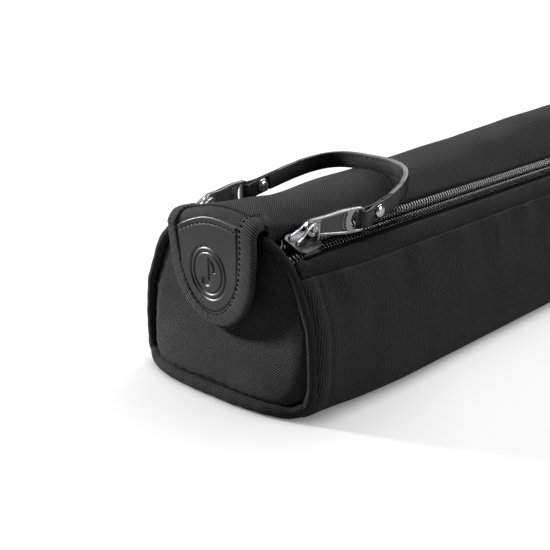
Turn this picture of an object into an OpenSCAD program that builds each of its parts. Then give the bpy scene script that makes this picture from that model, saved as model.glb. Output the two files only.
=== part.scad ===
// Carrying bag for a folded music stand.
// +X runs from the flap end to the hinge end, +Z is up, and the floor is z = 0.

/* [Body] */
// Length over the two end panels
body_len = 520; // [420:5:640]
// Half of the flat of the base
base_half = 44.2; // [40:0.2:50]
// Radius of the lower long edges
base_r = 9; // [6:0.5:12]
// Half width at the upper crease of the sides
shoulder_half = 47.7; // [45:0.1:50]
// Height of the upper crease of the sides
shoulder_z = 62.8; // [58:0.1:68]
// Radius of the bulge of the sides
side_bulge_r = 150; // [110:5:400]
// Thickness of the outer cloth
cloth = 1.2; // [0.8:0.1:1.6]
// Thickness of the padding
foam = 3.0; // [2:0.5:4]
// Thickness of the lining
lining = 0.6; // [0.4:0.1:1]

/* [Ends] */
// Radius of the welt round each end
welt_r = 2.2; // [1.6:0.1:2.6]
// Radius of the upper corners of the ends
end_r = 33.2; // [32:0.1:33.4]

/* [Lid] */
// Height of the crown of the lid
crown_z = 86.5; // [85:0.5:88]
// Height of the lid's long edges
lid_edge_z = 80.3; // [79.5:0.1:81.5]
// Half width of the lid over its rolled edges
lid_half = 25; // [23:0.5:25.5]

/* [Zips] */
// Distance of each chain from the middle
chain_y = 32; // [31:0.5:33]
// Height of each chain
chain_z = 72.5; // [71:0.5:73.5]
// Outward tilt of each chain
zip_tilt = 24; // [18:1:28]
// Width of one coil
coil_w = 4.2; // [3.6:0.1:4.4]
// Height of the coils
coil_h = 2.1; // [1.8:0.1:2.2]
// Gap between the two coils
coil_gap = 1.2; // [1:0.1:1.4]
// Thickness of the tapes
tape = 0.6; // [0.4:0.1:0.8]
// Visible width of each tape
tape_show = 9; // [7:0.5:10]

/* [Slider] */
// Place of the sliders along the bag when it is closed
slider_x = 16; // [12:1:18]
// Length of a slider
slider_l = 16; // [14:0.5:17]
// Radius of the pin in the crown
pin_r = 1.0; // [0.8:0.1:1.2]

/* [Handle] */
// Length of a pull from its pin to its end
pull_l = 31; // [28:1:34]
// Width of a pull at its slotted end
pull_w = 11.6; // [11:0.1:13]
// Thickness of a pull
pull_t = 2.0; // [1.6:0.1:2.2]
// Outward splay of the pulls
pull_yaw = 9; // [6:1:11]
// Droop of the pulls
pull_pitch = 1.9; // [1:0.1:2.2]
// Width of the strap
strap_w = 7.8; // [7:0.1:8]
// Thickness of one layer of the strap
strap_t = 1.3; // [1:0.1:1.5]
// Reach of the strap's bow beyond the pulls
bow_l = 53; // [48:1:56]
// Height of the middle of the strap
bow_z = 91.2; // [91.1:0.1:93]

/* [Flap] */
// Half width of the flap
flap_half = 27.5; // [25:0.5:28]
// Lowest point of the flap
flap_low_z = 34; // [30:1:40]
// Height of the flap's fold
fold_z = 80.5; // [79:0.5:81]
// Thickness of the flap
flap_t = 3; // [2:0.5:3.5]
// Width of the binding
binding_w = 8; // [6:0.5:9]
// Thickness of the leather patch
patch_t = 1.4; // [1:0.1:1.8]

/* [Hidden] */
$fn = 64;

gap = 0.4;                         // room left between pieces that part
sides = [-1, 1];                   // right, left

// Ends of the bag along X
flap_in_x = -3.4;                  // inner face of the flap
flap_out_x = flap_in_x - flap_t;   // outer face of the flap, where it folds
patch_x = flap_out_x + gap - patch_t;
seam_x = body_len + welt_r - 0.7;  // inner face of the hinge seam
seam_t = 1.2;
seam_z = 70;                       // lower edge of the hinge seam
mid_x = (patch_x + seam_x + seam_t) / 2;
welt_x = welt_r - 1.4;             // depth of the welt's middle inside each end
panel_x = welt_x + welt_r + 0.1;   // where the long panels meet the welts
board_x = cloth + foam + 1;        // ends of the board and the long foams
lip_r = 6;                         // outer radius of the lip over the near end
lip_x = flap_out_x + lip_r;        // where the lid's crown turns down into the lip

// Sides: an arc from the crease down to the corner
side_top = [shoulder_half, shoulder_z];
side_low = [base_half + base_r, base_r];
side_mid = (side_top + side_low) / 2;
side_dir = (side_top - side_low) / norm(side_top - side_low);
side_half = norm(side_top - side_low) / 2;
side_c = side_mid - [side_dir[1], -side_dir[0]] * sqrt(side_bulge_r^2 - side_half^2);
a_top = atan2(side_top[1] - side_c[1], side_top[0] - side_c[0]);
a_low = atan2(side_low[1] - side_c[1], side_low[0] - side_c[0]);

// Lid: an arc over the crown
crown_half = lid_half - 1;
crown_drop = crown_z - lid_edge_z;
crown_r = (crown_half^2 + crown_drop^2) / (2 * crown_drop);
crown_c = crown_z - crown_r;
lid_near_x = 4;                    // behind the welt of the near end
lid_far_x = body_len - 3.6;        // before the welt of the far end

// Zips, in the plane of each chain
tape_top = -coil_h / 2;
tape_out = 11.6;                   // hidden edge of the tapes
zip_near_x = 6;
zip_far_x = body_len - 8;
hem_t = 1.4;
plate_z = coil_h / 2 + 0.25;       // under side of the slider's upper plate
plate_t = 0.9;

// Crown and pulls
pin_x = slider_x + 6;                // pin of the crown, near the front of the slider
pin_z = 79.2;
ring_r = 3.3;
cheek_gap = 1.6;
cheek_t = 0.9;
bore_r = pin_r + 0.08;
slot_h = strap_w + 0.6;
slot_l = 6.4;
bar_w = 2.2;
bar_s = pull_l - bar_w / 2;        // pull's end bar, from the pin
bar_x = pin_x + bar_s * cos(pull_pitch) * cos(pull_yaw);
bar_y = chain_y + bar_s * cos(pull_pitch) * sin(pull_yaw);
bar_z = pin_z - bar_s * sin(pull_pitch);
wrap_r = norm([bar_w, pull_t]) / 2 + 0.2 + strap_t / 2;
layer = strap_t / 2 + 0.03;        // middle of each layer, from the middle of the strap
rivet_s = 11;                      // rivet, from the bar
tail_s = rivet_s + 3.4;            // end of the folded tail, from the bar
rivet_shaft = 1.2;
rivet_head = 2.8;

function arc(c, r, a0, a1, n) =
  [for (i = [0:n]) let (a = a0 + (a1 - a0) * i / n) [c[0] + r * cos(a), c[1] + r * sin(a)]];
function flip(p) = [for (i = [len(p) - 1:-1:0]) p[i]];
function mirrored(p) = [for (q = p) [-q[0], q[1]]];
function step(t) = t <= 0 ? 0 : t >= 1 ? 1 : t * t * (3 - 2 * t);

// Half outline of the tub, a depth d inside the cloth
function side_line(d) = arc(side_c, side_bulge_r - d, a_top, a_low, 12);
function tub_half(d) = concat(side_line(d), arc([base_half, base_r], base_r - d, 0, -90, 8));

// Outline of the ends: a flat crown, round shoulders and the tub's sides
end_c = [15, 46.6];
end_a = 6;                         // half angle of the crown of the ends
end_low_a = 24;                    // where the shoulders run into the sides
end_crown_r = (end_c[0] + end_r * sin(end_a)) / sin(end_a);
end_top_z = end_c[1] + end_r * cos(end_a) + end_crown_r * (1 - cos(end_a));
function end_half(d) = concat(
  arc([0, end_top_z - end_crown_r], end_crown_r - d, 90, 90 - end_a, 6),
  arc(end_c, end_r - d, 90 - end_a, end_low_a, 10),
  [for (p = side_line(d)) if (p[1] < end_c[1] - 3 && p[1] > base_r + 1) p],
  arc([base_half, base_r], base_r - d, 0, -90, 8));
function end_outline(d) = concat(end_half(d), [for (p = flip(end_half(d))) if (p[0] > 0.01) [-p[0], p[1]]]);

// Outline of the flap, a width d inside its edge
function flap_outline(d, top) = let (w = flap_half - d, low = flap_low_z + d, h = 19 - d * 0.3)
  concat([[w, top]], [for (a = [0:-7.5:-180]) [w * cos(a), low + h * (1 + sin(a))]], [[-w, top]]);

// Crown of the lid, a depth d inside the cloth
function crown(d, y) = let (r = crown_r - d, a = asin(y / r)) arc([0, crown_c], r, 90 - a, 90 + a, 24);

// Height of a tape's upper face at the distance y from the middle
function tape_z(y) = chain_z - (y - chain_y) * tan(zip_tilt) + tape_top / cos(zip_tilt);
lid_low = tape_z(lid_half - cloth) + 0.1;

// Middle of the strap along its bow: 0 at the bar, 90 at the crown of the bow
function reach(a) = bow_l * pow(sin(a), 0.7);
function bow(a) = [bar_x + reach(a), bar_y * pow(cos(a), 0.6), bar_z + (bow_z - bar_z) * sin(a)];
function bow_dir(a) = let (b = a > 89 ? a : a + 0.5, c = a > 89 ? a - 0.5 : a,
  v = bow(b) - bow(c)) [v[0], v[1]] / norm([v[0], v[1]]);
function spread(a) = layer + (wrap_r - layer) * (1 - step(reach(a) / 9));
function off(a, o) = let (p = bow(a), t = bow_dir(a)) [p[0] - t[1] * o, p[1] + t[0] * o, p[2], -t[1], t[0]];
bow_steps = concat([for (a = [0.6:1.2:18]) a], [for (a = [21:3:90]) a]);
tail_steps = [for (a = flip(bow_steps)) if (reach(a) < tail_s) a];
wrap = [for (f = [-90:-22.5:-270])
  [bar_x + wrap_r * cos(f), bar_y + wrap_r * sin(f), bar_z, cos(f), sin(f)]];
outer_half = concat(
  [for (a = tail_steps) let (q = off(a, -spread(a))) [q[0], q[1], q[2], -q[3], -q[4]]],
  wrap, [for (a = bow_steps) off(a, spread(a))]);
inner_half = [for (a = bow_steps) if (reach(a) > tail_s + 1) off(a, -layer)];
function whole(h) = concat(h, [for (q = flip(h)) if (q[1] > 0.01) [q[0], -q[1], q[2], q[3], -q[4]]]);
rivet_a = asin(pow(rivet_s / bow_l, 1 / 0.7));
rivet_at = bow(rivet_a);
rivet_dir = bow_dir(rivet_a);

module along_x(x0, x1) { translate([x0, 0, 0]) rotate([90, 0, 90]) linear_extrude(x1 - x0) children(); }
module place() { translate([-mid_x, 0, 0]) children(); }
module on_side(s) { mirror([0, s > 0 ? 0 : 1, 0]) children(); }
module zip_strip(v, width, low, high) {
  zip_plane() translate([zip_near_x, v, low]) cube([zip_far_x - zip_near_x, width, high - low]);
}
module zip_plane() { translate([0, chain_y, chain_z]) rotate([-zip_tilt, 0, 0]) children(); }

// A tube of radius r along a closed path of points
module ring_tube(path, r, n) {
  m = len(path);
  function dir(i) = let (v = path[(i + 1) % m] - path[(i + m - 1) % m]) v / norm(v);
  points = [for (i = [0:m - 1], j = [0:n - 1]) let (d = dir(i), out = [0, d[2], -d[1]], a = 360 * j / n)
    path[i] + r * (cos(a) * out + sin(a) * [1, 0, 0])];
  faces = [for (i = [0:m - 1], j = [0:n - 1]) let (k = (i + 1) % m, l = (j + 1) % n)
    [i * n + j, i * n + l, k * n + l, k * n + j]];
  polyhedron(points, faces);
}

// A flat band, strap_t thick and strap_w high, along a path of [x, y, z, normal x, normal y]
module band(path) {
  m = len(path);
  points = [for (q = path, c = [[1, -1], [1, 1], [-1, 1], [-1, -1]])
    [q[0] + c[0] * q[3] * strap_t / 2, q[1] + c[0] * q[4] * strap_t / 2, q[2] + c[1] * strap_w / 2]];
  faces = concat([[0, 1, 2, 3]],
    [for (i = [0:m - 2], j = [0:3]) let (k = i * 4, l = (j + 1) % 4) [k + j, k + 4 + j, k + 4 + l, k + l]],
    [[m * 4 - 1, m * 4 - 2, m * 4 - 3, m * 4 - 4]]);
  polyhedron(points, faces);
}

module at_rivet() {
  translate(rivet_at) rotate([0, 0, atan2(rivet_dir[1], rivet_dir[0])]) rotate([-90, 0, 0]) children();
}
module rivet_holes() {
  for (s = sides) on_side(s) at_rivet() cylinder(r = rivet_shaft + 0.05, h = 12, center = true);
}

// ---- tub ----
module bottom_panel() { color("#1b1b1d") place()
  along_x(panel_x, body_len - panel_x) translate([-base_half, 0]) square([2 * base_half, cloth]); }

module side_panel(s) { color("#1d1d1f") place() on_side(s)
  along_x(panel_x, body_len - panel_x) polygon(concat(tub_half(0), flip(tub_half(cloth)))); }

module top_hem(s) {
  hem_y = chain_y + tape_show * cos(zip_tilt) - 0.3;
  tuck_y = chain_y + tape_out * cos(zip_tilt) + 0.15;
  color("#2a2a2c") place() on_side(s) along_x(panel_x + 0.1, body_len - panel_x - 0.1)
    polygon([[hem_y, tape_z(hem_y) + 0.05], [hem_y, tape_z(hem_y) + hem_t], side_top, side_line(cloth)[0],
      [tuck_y, tape_z(tuck_y) - tape * 1.2], [tuck_y, tape_z(tuck_y) + 0.05]]);
}

module end_panel(x) { color("#202022") place()
  along_x(x, x + cloth) polygon(end_outline(2 * welt_r + 0.05)); }

module end_welt(x) { color("#151516") place()
  ring_tube([for (p = flip(end_outline(welt_r))) [x, p[0], p[1]]], welt_r, 12); }

module base_board() { color("#3a3a3c") place() along_x(board_x, body_len - board_x)
  translate([0.1 - base_half, cloth]) square([2 * base_half - 0.2, foam]); }

module side_foam(s) {
  function layer_line(d) = [for (p = tub_half(d)) if (p[1] < 61.5) p];
  color("#4a4a4c") place() on_side(s) along_x(board_x, body_len - board_x)
    polygon(concat(layer_line(cloth + 0.02), flip(layer_line(cloth + foam))));
}

module end_foam(x) { color("#4a4a4c") place()
  along_x(x, x + foam) polygon(end_outline(2 * welt_r + 0.3)); }

module tub_lining() {
  depth = cloth + foam;
  end_line = end_outline(depth + 2.2);
  function lining_line(d) = [for (p = tub_half(d)) if (p[1] < 61) p];
  line_0 = lining_line(depth + 0.05);
  line_1 = lining_line(depth + lining);
  color("#5a5a5e") place() {
    along_x(board_x, body_len - board_x)
      polygon(concat(line_0, mirrored(flip(line_0)), mirrored(line_1), flip(line_1)));
    for (x = [depth + 0.05, body_len - depth - lining])
      along_x(x, x + lining - 0.05) polygon(end_line);
  }
}

module body_tape(s) { color("#0e0e0f") place() on_side(s)
  zip_strip(coil_gap / 2, tape_out - coil_gap / 2, tape_top - tape, tape_top); }

module body_coil(s) { color("#050505") place() on_side(s)
  zip_strip(coil_gap / 2, coil_w, tape_top, tape_top + coil_h); }

module zip_end_stops() { color("#9a9a9c") place() for (s = sides) on_side(s) zip_plane()
  translate([zip_far_x, 0.3, tape_top - tape - 0.2]) cube([2.2, coil_w + 0.6, coil_h + tape + 0.5]); }

module end_loop_patch() { color("#101011") place()
  along_x(-1.3, 0) translate([-12, 46]) square([24, 22]); }

module hinge_seam_binding() { color("#111112") place() along_x(seam_x, seam_x + seam_t)
  polygon(concat(crown(0.3, crown_half), [[-crown_half, seam_z], [crown_half, seam_z]])); }

// ---- lid ----
module lid_shell() {
  inner = lid_half - cloth;
  polygon(concat([[lid_half, lid_low], [lid_half, lid_edge_z - 2], [lid_half - 0.2, lid_edge_z - 0.9]],
    crown(0, crown_half),
    [[-lid_half + 0.2, lid_edge_z - 0.9], [-lid_half, lid_edge_z - 2]],
    [[-lid_half, lid_low], [-inner, lid_low]],
    flip(crown(cloth, inner)), [[inner, lid_low]]));
}

module lid_panel() { color("#212123") place() {
  along_x(lid_near_x, lid_far_x) lid_shell();
  for (x = [[lip_x, lid_near_x], [lid_far_x, seam_x - gap]])
    along_x(x[0], x[1]) polygon(concat(crown(0, crown_half), flip(crown(cloth, crown_half))));
} }

module lid_front_lip() { color("#1f1f21") place() intersection() {
  translate([lip_x, 0, crown_z - lip_r]) rotate([90, 0, 0]) difference() {
    cylinder(r = lip_r, h = 60, center = true);
    cylinder(r = lip_r - cloth, h = 62, center = true);
    translate([0, -20, -40]) cube([40, 40, 80]);
    translate([-20, -40, -40]) cube([40, 40, 80]);
  }
  along_x(flap_out_x - 1, lip_x)
    polygon(concat(crown(0, crown_half), [[-crown_half, 60], [crown_half, 60]]));
} }

// One layer under the lid's cloth, from a depth d0 to a depth d1, over a half width y
module lid_layer(d0, d1, y) {
  along_x(board_x + 0.2, body_len - board_x - 0.2) polygon(concat(crown(d0 + 0.02, y), flip(crown(d1, y))));
}

module lid_foam() { color("#4a4a4c") place() lid_layer(cloth, cloth + foam, lid_half - 2.2); }

module lid_lining() { color("#5a5a5e") place()
  lid_layer(cloth + foam, cloth + foam + lining, lid_half - 2.4); }

module lid_tape(s) { color("#0e0e0f") place() on_side(s)
  zip_strip(-tape_out, tape_out - coil_gap / 2, tape_top - tape, tape_top); }

module lid_coil(s) { color("#050505") place() on_side(s)
  zip_strip(-coil_gap / 2 - coil_w, coil_w, tape_top, tape_top + coil_h); }

// ---- flap ----
module end_flap() { color("#232325") place()
  along_x(flap_out_x + gap, flap_in_x - gap) polygon(flap_outline(0.8, fold_z - gap)); }

module flap_binding() { color("#171718") place() difference() {
  along_x(flap_out_x, flap_in_x) polygon(flap_outline(0, fold_z - gap));
  along_x(flap_out_x + gap, flap_in_x - gap) polygon(flap_outline(0.8, fold_z + 1));
  along_x(flap_out_x - 1, flap_in_x + 1) polygon(flap_outline(binding_w, fold_z + 1));
} }

module leather_patch() {
  arch_r = 33;
  arch_z = 79.5;
  color("#0b0b0c") place() intersection() {
    along_x(flap_out_x + gap - patch_t, flap_out_x + gap) polygon(flap_outline(binding_w + 0.05, fold_z));
    translate([0, 0, arch_z - arch_r]) rotate([0, 90, 0])
      cylinder(r = arch_r, h = 40, center = true, $fn = 128);
  }
}

module flap_hook_patch() { color("#101011") place()
  along_x(flap_in_x - gap, -1.8) translate([-11.5, 46.5]) square([23, 21]); }

// ---- sliders ----
module slider(s) {
  nose = slider_l / 2;
  side = [[-nose, 4.8], [-nose + 2.4, 6.8], [0.5, 6.7], [nose - 1.6, 5.6], [nose, 4.4]];
  under = [[-nose + 0.8, 0.3], [-nose + 0.8, -4.4], [-nose + 2.6, -6.2],
    [0.5, -6.2], [nose - 1, -4.6], [nose - 1, 0.3]];
  flange_z = tape_top + 0.25;
  color("#8d8d90") place() on_side(s) zip_plane() translate([slider_x, 0, 0]) {
    translate([0, 0, plate_z]) linear_extrude(plate_t)
      polygon(concat(side, flip([for (p = side) [p[0], -p[1]]])));
    for (y = [-6.2, 5.3]) translate([-5, y, flange_z]) cube([10, 0.9, plate_z - flange_z + 0.1]);
    translate([-nose + 0.8, -0.3, -2.8]) cube([2.6, 0.6, plate_z + 2.9]);
    translate([0, 0, -2.8]) linear_extrude(plate_t) polygon(under);
  }
}

module slider_crown(s) {
  cheek_w = 4;
  color("#b5b5b8") place() on_side(s) difference() {
    union() {
      for (y = [-cheek_gap - cheek_t, cheek_gap]) translate([pin_x, chain_y + y, pin_z]) {
        rotate([-90, 0, 0]) cylinder(r = cheek_w / 2, h = cheek_t);
        translate([-cheek_w / 2, 0, -8]) cube([cheek_w, cheek_t, 8]);
      }
      translate([pin_x, chain_y, pin_z]) rotate([90, 0, 0])
        cylinder(r = pin_r, h = 2 * cheek_gap + 0.4, center = true);
    }
    zip_plane() translate([slider_x - 10, -20, -30]) cube([20, 40, 30 + plate_z + plate_t]);
  }
}

// ---- handle ----
module zip_pull(s) {
  half = pull_w / 2;
  ring = arc([0, 0], ring_r, 90, 270, 16);
  bar_in = pull_l - bar_w;
  neck = 4.4;
  wide_x = bar_in - slot_l - 1;
  color("#a8a8ab") place() on_side(s) difference() {
    translate([pin_x, chain_y, pin_z]) rotate([0, pull_pitch, pull_yaw]) rotate([90, 0, 0])
      linear_extrude(pull_t, center = true) difference() {
        polygon(concat(ring, [[7, -neck], [wide_x, -half]], arc([pull_l - 3, -half + 3], 3, -90, 0, 6),
          arc([pull_l - 3, half - 3], 3, 0, 90, 6), [[wide_x, half], [7, neck]]));
        polygon(concat([[bar_in, -slot_h / 2], [bar_in, slot_h / 2]],
          [for (a = [90:15:270]) [bar_in - slot_l + 3 + 3 * cos(a), slot_h / 2 * sin(a)]]));
      }
    translate([pin_x, chain_y, pin_z]) rotate([90, 0, 0]) cylinder(r = bore_r, h = 12, center = true);
  }
}

module strap_outer() { color("#1a1a1b") place() difference() {
  band(whole(outer_half));
  rivet_holes();
} }

module strap_inner() { color("#141415") place() band(whole(inner_half)); }

module strap_rivets() {
  head_t = 0.9;
  stack = 2 * layer + strap_t;
  color("#c0c0c3") place() for (s = sides) on_side(s) at_rivet() {
    cylinder(r = rivet_shaft, h = stack + 0.4, center = true);
    for (z = [stack / 2 + 0.12, -stack / 2 - 0.12 - head_t])
      translate([0, 0, z]) cylinder(r = rivet_head, h = head_t);
  }
}

bottom_panel();
side_panel(-1);  // right_side_panel
side_panel(1);  // left_side_panel
top_hem(-1);  // right_top_hem
top_hem(1);  // left_top_hem
end_panel(0);  // near_end_panel
end_panel(body_len - cloth);  // far_end_panel
end_welt(welt_x);  // near_end_welt
end_welt(body_len - welt_x);  // far_end_welt
base_board();
side_foam(-1);  // right_side_foam
side_foam(1);  // left_side_foam
end_foam(cloth);  // near_end_foam
end_foam(body_len - cloth - foam);  // far_end_foam
tub_lining();
body_tape(-1);  // right_body_tape
body_tape(1);  // left_body_tape
body_coil(-1);  // right_body_coil
body_coil(1);  // left_body_coil
zip_end_stops();
end_loop_patch();
hinge_seam_binding();
lid_panel();
lid_front_lip();
lid_foam();
lid_lining();
lid_tape(-1);  // right_lid_tape
lid_tape(1);  // left_lid_tape
lid_coil(-1);  // right_lid_coil
lid_coil(1);  // left_lid_coil
end_flap();
flap_binding();
leather_patch();
flap_hook_patch();
slider(-1);  // right_slider
slider(1);  // left_slider
slider_crown(-1);  // right_slider_crown
slider_crown(1);  // left_slider_crown
zip_pull(-1);  // right_zip_pull
zip_pull(1);  // left_zip_pull
strap_outer();
strap_inner();
strap_rivets();
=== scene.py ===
"""Looks of the carrying bag of a folding music stand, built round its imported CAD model.

Points are worked out in millimetres in the bag's own frame: x = 0 is the outer face of the near
end panel and +X runs to the far end, y = 0 is the middle and z = 0 is the floor.
"""

import bpy
import numpy as np
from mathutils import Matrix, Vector
from numpy import (arange, arcsin, arctan2, array, clip, cos, cross, degrees, diff, exp, gradient, hypot,
                   linspace, maximum, meshgrid, minimum, ones, pi, radians, roll, sin, sqrt, tan, tile,
                   zeros)
from numpy.linalg import norm


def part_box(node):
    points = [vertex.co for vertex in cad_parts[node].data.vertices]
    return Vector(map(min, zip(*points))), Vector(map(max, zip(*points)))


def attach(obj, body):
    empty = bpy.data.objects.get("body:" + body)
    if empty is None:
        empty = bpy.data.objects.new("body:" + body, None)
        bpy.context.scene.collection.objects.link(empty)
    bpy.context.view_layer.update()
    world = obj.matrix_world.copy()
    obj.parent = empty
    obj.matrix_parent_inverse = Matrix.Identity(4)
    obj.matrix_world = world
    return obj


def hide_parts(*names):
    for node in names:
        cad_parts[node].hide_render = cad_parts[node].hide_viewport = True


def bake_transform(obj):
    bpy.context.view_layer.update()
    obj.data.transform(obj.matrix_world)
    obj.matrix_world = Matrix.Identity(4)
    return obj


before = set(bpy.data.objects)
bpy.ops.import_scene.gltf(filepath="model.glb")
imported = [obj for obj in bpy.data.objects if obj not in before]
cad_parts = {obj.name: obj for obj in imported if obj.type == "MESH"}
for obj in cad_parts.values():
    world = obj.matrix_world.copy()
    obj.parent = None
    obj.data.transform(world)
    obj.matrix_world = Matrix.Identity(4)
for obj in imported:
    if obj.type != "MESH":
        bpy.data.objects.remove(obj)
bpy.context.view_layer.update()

MM = 0.001
SIDES = {"right": -1, "left": 1}      # direction of each side along Y
near_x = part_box("near_end_panel")[0].x


def metres(points):
    """Points of the bag's frame, in millimetres, as points of the row frame, in metres."""
    points = np.asarray(points, float)
    return points * MM + array([near_x, 0, 0])


def mm_box(node):
    """The low and high corners of a CAD node's box, in the bag's frame."""
    low, high = (array(corner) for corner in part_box(node))
    shift = array([near_x, 0, 0])
    return (low - shift) / MM, (high - shift) / MM


# ---- driving dimensions, mm
body_len = mm_box("far_end_panel")[1][0]
welt_low, welt_high = mm_box("near_end_welt")
welt_r = (welt_high[0] - welt_low[0]) / 2
welt_x = (welt_high[0] + welt_low[0]) / 2
lid_half = mm_box("lid_panel")[1][1]
crown_z = mm_box("lid_panel")[1][2]
base_half, base_r = 44.2, 9.0
end_base_r = 13.0    # the lower corners of the ends are rounder
crease = array([47.7, mm_box("right_side_panel")[1][2]])
side_bulge_r = 150.0
end_c, end_r, end_top_a, end_low_a = array([15.0, 46.6]), 33.2, 6.0, 24.0
chain_y, chain_z, zip_tilt = 32.0, 72.5, radians(24)
coil_w, coil_h, coil_gap = 4.2, 2.1, 1.2
tape_top, tape_out = -coil_h / 2, 11.6
coil_pitch = 2.05
slider_x, pin_x, pin_z = 16.0, 22.0, 79.2
pull_l, pull_w, pull_t = 31.0, 11.6, 2.0
pull_yaw, pull_pitch = radians(9), radians(1.9)
strap_w, strap_t = 7.8, 1.3
bow_l, bow_z = 53.0, 89.3
lip_r = 6.0
flap_half, flap_low = 27.7, 33.4
bow_out = 9.4        # how far the near end's foot stands out in its middle
foot_sag = 3.4       # how far the foot of each side sags outward
cloth_t = 1.1
ENDS = {"near": (0.0, 1, 1.0), "far": (body_len, -1, 0.45)}     # place, way in, share of the foot's bow
ZIP_HALVES = {"body": (1, "tub"), "lid": (-1, "lid")}           # way across the zip, body it is sewn to


# ---- lines and surfaces
def join(*lines, axis=0):
    """Lines or grids of points, one after another."""
    return np.concatenate(lines, axis)


def point(*parts):
    """Points from their coordinates, each a number or an array."""
    return np.stack(np.broadcast_arrays(*parts), -1)


def smooth(t):
    """0 up to t = 0, rising softly to 1 from t = 1 on."""
    t = clip(t, 0, 1)
    return t * t * (3 - 2 * t)


def fade(t):
    """1 up to t = 0, falling softly to 0 from t = 1 on."""
    return 1 - smooth(t)


def bell(x, middle, width):
    """1 at the middle, falling softly to both sides."""
    return exp(-((x - middle) / width) ** 2)


def distances(line):
    """How far along a line each of its points is."""
    return join([0], np.cumsum(norm(diff(line, axis=0), axis=1)))


def points_at(places, marks, line):
    """The points at places of a line whose own points are at marks."""
    return np.stack([np.interp(places, marks, column) for column in line.T], -1)


def through(x, keys):
    """A smooth line through keys, each a place and a value."""
    keys = array(keys, float)
    slope = gradient(keys[:, 1], keys[:, 0])
    i = clip(np.searchsorted(keys[:, 0], x) - 1, 0, len(keys) - 2)
    h = keys[i + 1, 0] - keys[i, 0]
    t = clip((x - keys[i, 0]) / h, 0, 1)
    start = (1 + 2 * t) * (1 - t) ** 2 * keys[i, 1] + t * (1 - t) ** 2 * h * slope[i]
    end = t * t * (3 - 2 * t) * keys[i + 1, 1] + t * t * (t - 1) * h * slope[i + 1]
    return start + end


def arc(centre, radius, start, end, steps):
    """Points on an arc, with its angles in degrees."""
    a = radians(linspace(start, end, steps + 1))
    return point(centre[0] + radius * cos(a), centre[1] + radius * sin(a))


def resample(line, count):
    """The same line with count points at equal distances."""
    line = np.asarray(line, float)
    marks = distances(line)
    return points_at(linspace(0, marks[-1], count), marks, line)


side_foot = array([base_half + base_r, base_r])
side_dir = (crease - side_foot) / norm(crease - side_foot)
side_reach = sqrt(side_bulge_r ** 2 - (norm(crease - side_foot) / 2) ** 2)
side_c = (crease + side_foot) / 2 - array([side_dir[1], -side_dir[0]]) * side_reach
side_a = [degrees(arctan2(*(p - side_c)[::-1])) for p in (crease, side_foot)]
end_crown_r = (end_c[0] + end_r * sin(radians(end_top_a))) / sin(radians(end_top_a))
end_top_z = end_c[1] + end_r * cos(radians(end_top_a)) \
    + end_crown_r * (1 - cos(radians(end_top_a)))


def side_line(d):
    return arc(side_c, side_bulge_r - d, side_a[0], side_a[1], 40)


def corner_line(d, radius=base_r):
    return arc((base_half + base_r - radius, radius), radius - d, 0, -90, 12)


def end_side(d, top_a):
    """The shoulder and side of an end, a depth d inside its outline, down to the corner."""
    low = [p for p in side_line(d) if end_base_r + 1 < p[1] < end_c[1] - 3]
    return join(arc(end_c, end_r - d, top_a, end_low_a, 16), low)


def end_outline(d, count):
    """The closed outline of an end, a depth d inside, as count points from the top round the right."""
    top = arc((0, end_top_z - end_crown_r), end_crown_r - d, 90, 90 - end_top_a, 8)
    half = join(top, end_side(d, 90 - end_top_a), corner_line(d, end_base_r), [[0, d]])
    half = resample(half, count // 2 + 1)
    return join(half, (half * [-1, 1])[-2:0:-1])


def foot_bow(y, z):
    """How far the near end stands out, most at the middle of its foot."""
    across = clip(1 - abs(y / 49) ** 3.2, 0, 1)
    return bow_out * across * fade((z - 3) / 34)


def end_point(end, x, y, z, bow=1.0):
    """A point x in from the face of an end, with a share of its foot's bow."""
    place, sign, share = ENDS[end]
    return point(place + sign * (x - bow * share * foot_bow(y, z)), y, z)


def crown_line(x):
    """Height of the lid's crown along the bag."""
    return through(x, [(-8, crown_z), (14, crown_z - 0.3), (45, 84.2), (80, 84.6), (118, 85.2), (150, 86.6),
                       (191, 88.7), (244, 91.6), (300, 94.0), (360, 93.4), (405, 88.4), (432, 84.8),
                       (470, 84.2), (505, 84.4), (530, min(crown_z, 84.9) - 0.3)])


def edge_line(x):
    """Height of the lid's long edges along the bag."""
    return through(x, [(-8, 81.8), (4, 81.8), (12, 81.0), (18, 79.7), (28, 78.0), (40, 76.6), (120, 76.2),
                       (400, 76.4), (480, 77.6), (505, 79.6), (530, 79.8)])


def edge_y(x):
    """Half the lid's width along the bag."""
    return lid_half + 2.7 * smooth((x - 12) / 36) * fade((x - 335) / 60)


def lid_z(x, y):
    """The lid's outer face."""
    edge, crown = edge_line(x), crown_line(x)
    arch = 1 - abs(clip(y / edge_y(x), -1, 1)) ** 2.15
    dent = 3.2 * bell(x, 37, 27) * smooth((y - 2) / 13) * smooth((29 - y) / 8)
    slack = 0.18 * sin(x / 13 + y / 9) + 0.14 * sin(x / 7.3 - y / 5)
    return edge + (crown - edge) * arch - dent + slack * smooth(x / 30) * arch


def flap_x(y, z):
    """The flap's outer face: it hangs close on the left and stands off on the right."""
    hang = -3.7 - 3.3 * smooth((27 - y) / 50) - 0.8 * smooth((-8 - y) / 18)
    top = lip_x - lip_r
    return top + (hang - top) * smooth((81 - z) / 22)


lip_x, fold_len = -0.4, lip_r * pi / 2      # where the lid starts to turn over, and how long its turn is


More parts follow.
